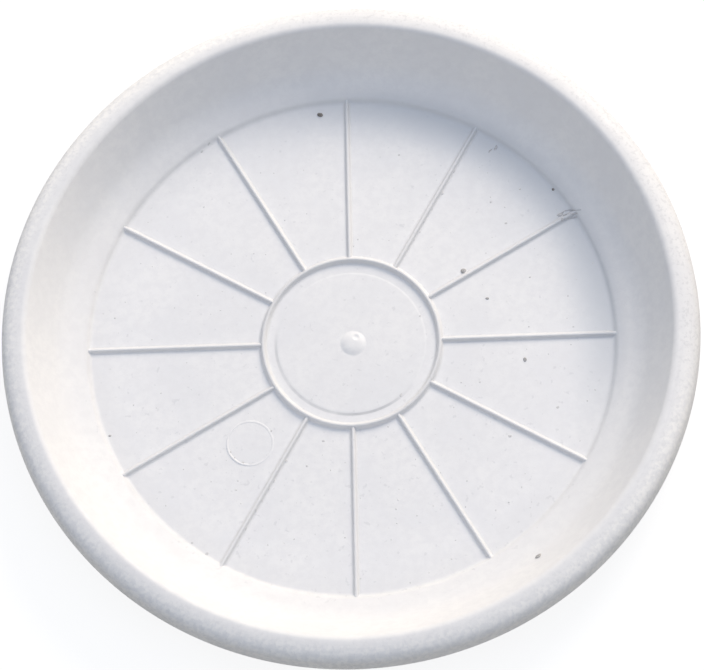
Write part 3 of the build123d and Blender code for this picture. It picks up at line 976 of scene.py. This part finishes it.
# %% Grains and flat spots of silt
# Each is (across, down, length in millimetres, width over length, turn in degrees)
SOIL_GRAINS = [(553.2, 189.4, 1.1, 0.9, 20), (320.1, 115.0, 2.3, 0.7, -15)]
GREY_CRUMBS = [
    (463.3, 271.0, 2.1, 0.85, 60), (487.2, 298.4, 1.3, 0.7, 0), (524.9, 359.5, 1.7, 0.75, 90),
    (538.5, 556.3, 2.5, 1.0, 0), (109.9, 435.8, 1.1, 0.65, 0),
]
SILT_SPOTS = [
    (442, 193, 1.7, 0.8, 20), (454, 171, 1.5, 0.7, 50), (242, 463, 1.7, 0.6, 10), (286, 461, 1.4, 0.7, 80),
    (401, 395, 1.4, 0.7, 40), (207, 554, 1.6, 0.6, 60), (202, 151, 1.5, 0.6, 30), (209, 144, 1.5, 0.6, 40),
    (506, 223, 1.1, 0.9, 0), (491, 202, 1.0, 0.9, 20), (424, 222, 0.9, 0.8, 70), (234, 458, 1.1, 0.8, 0),
    (246, 529, 1.4, 0.7, 20), (256, 511, 1.5, 0.6, 75), (262, 501, 1.3, 0.6, 60), (274, 481, 1.3, 0.7, 10),
    (558, 407, 1.2, 0.8, 35), (230, 452, 1.2, 0.7, 0), (307, 466, 0.9, 0.9, 0), (323, 441, 0.9, 0.9, 15),
    (480, 382, 0.8, 0.9, 0), (271, 431, 1.2, 0.6, 50), (269, 489, 1.1, 0.7, 30), (192, 543, 0.9, 0.9, 0),
    (530, 277, 0.9, 0.8, 25), (414, 240, 0.9, 0.8, 60), (432, 209, 1.0, 0.7, 10),
    (399, 155, 0.9, 0.8, 0), (420, 232, 0.8, 0.8, 20), (520, 189, 0.9, 0.8, 0), (115, 318, 0.9, 0.8, 0),
    (420, 316, 0.8, 0.9, 0), (324, 441, 0.7, 0.9, 0), (236, 490, 0.9, 0.8, 0), (510, 436, 1.3, 0.8, 0),
]
FIBRE_TUFTS = [
    (560.1, 214.6, 2.4, 0.55, 20), (562.0, 219.6, 1.3, 0.6, 50), (495.8, 147.8, 2.2, 0.42, 62),
    (490.2, 150.8, 1.8, 0.34, 45),
]


UNEVENNESS = 0.16


def lumps(name, spots, thickness, sunk, finish):
    """Small uneven lumps, each set on the face behind its point of the picture."""
    work = bmesh.new()
    for number, (across, down, length, share, turn) in enumerate(spots):
        place, normal = behind(across, down)
        aligned = normal.to_track_quat("Z", "Y").to_matrix().to_4x4()
        shape = Matrix.Diagonal((length * MM, length * share * MM, length * thickness * MM, 1))
        made = bmesh.ops.create_icosphere(work, subdivisions=2, radius=0.5)["verts"]
        for i, vertex in enumerate(made):
            vertex.co *= 1 + UNEVENNESS * sin(3.1 * i + number) * cos(1.7 * i)
        lift = length * thickness * MM * (0.5 - sunk)
        stand = Matrix.Translation(place + normal * lift) @ aligned @ Matrix.Rotation(radians(turn), 4, "Z")
        bmesh.ops.transform(work, matrix=stand @ shape, verts=made)
    mesh = bpy.data.meshes.new(name)
    work.to_mesh(mesh)
    work.free()
    mesh.materials.append(finish)
    return keep(mesh, name, [], sharp=pi)


lumps("soil_grains", SOIL_GRAINS, 0.4, 0.35, soil)
lumps("grey_crumbs", GREY_CRUMBS, 0.3, 0.35, crumb)
lumps("silt_spots", SILT_SPOTS, 0.1, 0.4, silt)
lumps("fibre_tufts", FIBRE_TUFTS, 0.1, 0.3, fibre)

# %% [markdown]
# The finest grains have no place of their own. A tree scatters them over the flat floor from a fixed
# seed, more of them towards the near side, and gives each its own size and turn. Those that fall on the
# ring or a rib end up inside it.

# %% Tree that scatters dust
DUST_SEED = 7
DUST_FAR_Y, DUST_NEAR_Y = 0.09, -0.08
DUST_SHARE_FAR = 0.3
DUST_SHAPE = (1, 0.75, 0.3)
DUST_TILT = 0.2


def dust_tree():
    kinds = {"Most": "Float", "Seed": "Int", "Smallest": "Float", "Largest": "Float", "Finish": "Material"}
    tree, given, inputs = new_tree("scatter_dust", "Floor", kinds)
    position = add_node(tree, "GeometryNodeInputPosition")
    y = add_node(tree, "ShaderNodeSeparateXYZ", {0: position}, out="Y")
    span = {"Value": y, "From Min": DUST_FAR_Y, "From Max": DUST_NEAR_Y, "To Min": DUST_SHARE_FAR}
    nearer = add_node(tree, "ShaderNodeMapRange", span)
    amount = add_node(tree, "ShaderNodeMath", {0: nearer, 1: given["Most"]}, operation="MULTIPLY")
    spread = {"Mesh": given["Floor"], "Density": amount, "Seed": given["Seed"]}
    points = add_node(tree, "GeometryNodeDistributePointsOnFaces", spread)
    ball = add_node(tree, "GeometryNodeMeshIcoSphere", {"Radius": 1.0, "Subdivisions": 2})
    grain = add_node(tree, "GeometryNodeTransform", {"Geometry": ball, "Scale": DUST_SHAPE})
    sizes = {"Min": given["Smallest"], "Max": given["Largest"], "Seed": given["Seed"]}
    turns = {"Max": (DUST_TILT, DUST_TILT, 2 * pi), "Seed": given["Seed"]}
    size = add_node(tree, "FunctionNodeRandomValue", sizes)
    turn = add_node(tree, "FunctionNodeRandomValue", turns, data_type="FLOAT_VECTOR")
    standing = {"Points": points, "Instance": grain, "Scale": size, "Rotation": turn}
    give_painted(tree, given, add_node(tree, "GeometryNodeInstanceOnPoints", standing))
    return tree, inputs


# %% Fine dust on the floor


def floor_fan(inner, outer, count=72):
    """The flat floor as a ring of plain quads, fine enough for the tree to vary its points over it."""
    rows = 8
    radii = [inner + (outer - inner) * k / rows for k in range(rows + 1)]
    points = [around((0, 0), r, 360 * i / count) for r in radii for i in range(count)]
    faces = []
    for k in range(rows):
        near, far = k * count, (k + 1) * count
        faces += [(near + i, far + i, far + (i + 1) % count, near + (i + 1) % count) for i in range(count)]
    mesh = bpy.data.meshes.new("dust_floor")
    mesh.from_pydata([(x * MM, y * MM, floor_top * MM) for x, y in points], [], faces)
    holder = bpy.data.objects.new("dust_floor", mesh)
    bpy.context.scene.collection.objects.link(holder)
    return holder


DUST_PER_SQUARE_METRE = 9000.0
DUST_OFF_RING, DUST_OFF_WALL = 1.0, 1.5
scatter_dust, dust_inputs = dust_tree()
dust_values = {
    dust_inputs["Most"]: DUST_PER_SQUARE_METRE,
    dust_inputs["Seed"]: DUST_SEED,
    dust_inputs["Smallest"]: 0.12 * MM,
    dust_inputs["Largest"]: 0.36 * MM,
    dust_inputs["Finish"]: silt,
}
dust_holder = floor_fan(ring_outer_foot + DUST_OFF_RING, floor_edge - DUST_OFF_WALL)
keep(plain_mesh(dust_holder, scatter_dust, dust_values, "fine_dust"), "fine_dust", [], sharp=pi)

# %% [markdown]
# At the outer end of one rib a few hairs are caught on the wall. Each is a thin tube along a line that
# follows the faces behind it.

# %% Hairs caught on the wall
HAIR_LIFT = 0.07
HAIR_THICKNESS = 0.34
HAIR_SIDES = 8
HAIRS = [
    [(561.0, 213.4), (564.5, 211.2), (569.0, 209.9), (575.0, 210.3), (581.0, 209.8)],
    [(563.5, 215.4), (568.0, 214.0), (573.0, 213.8), (577.5, 213.0)],
    [(564.0, 219.6), (568.5, 218.4), (573.0, 218.0), (577.3, 216.9)],
]


def thread_tree():
    tree, given, inputs = new_tree("thread", "Line", {"Radius": "Float", "Finish": "Material"})
    thin = {"Radius": given["Radius"], "Resolution": HAIR_SIDES}
    circle = add_node(tree, "GeometryNodeCurvePrimitiveCircle", thin)
    swept = {"Curve": given["Line"], "Profile Curve": circle, "Fill Caps": True}
    give_painted(tree, given, add_node(tree, "GeometryNodeCurveToMesh", swept))
    return tree, inputs


def hair_curve(paths):
    data = bpy.data.curves.new("hair_lines", "CURVE")
    data.dimensions = "3D"
    for path in paths:
        spline = data.splines.new("POLY")
        spline.points.add(len(path) - 1)
        for target, (across, down) in zip(spline.points, path):
            place, normal = behind(across, down)
            target.co = (*(place + normal * HAIR_LIFT * MM), 1)
    holder = bpy.data.objects.new("hair_lines", data)
    bpy.context.scene.collection.objects.link(holder)
    return holder


thread, thread_inputs = thread_tree()
hair_values = {thread_inputs["Radius"]: HAIR_THICKNESS / 2 * MM, thread_inputs["Finish"]: fibre}
keep(plain_mesh(hair_curve(HAIRS), thread, hair_values, "caught_hairs"), "caught_hairs", [], sharp=pi)
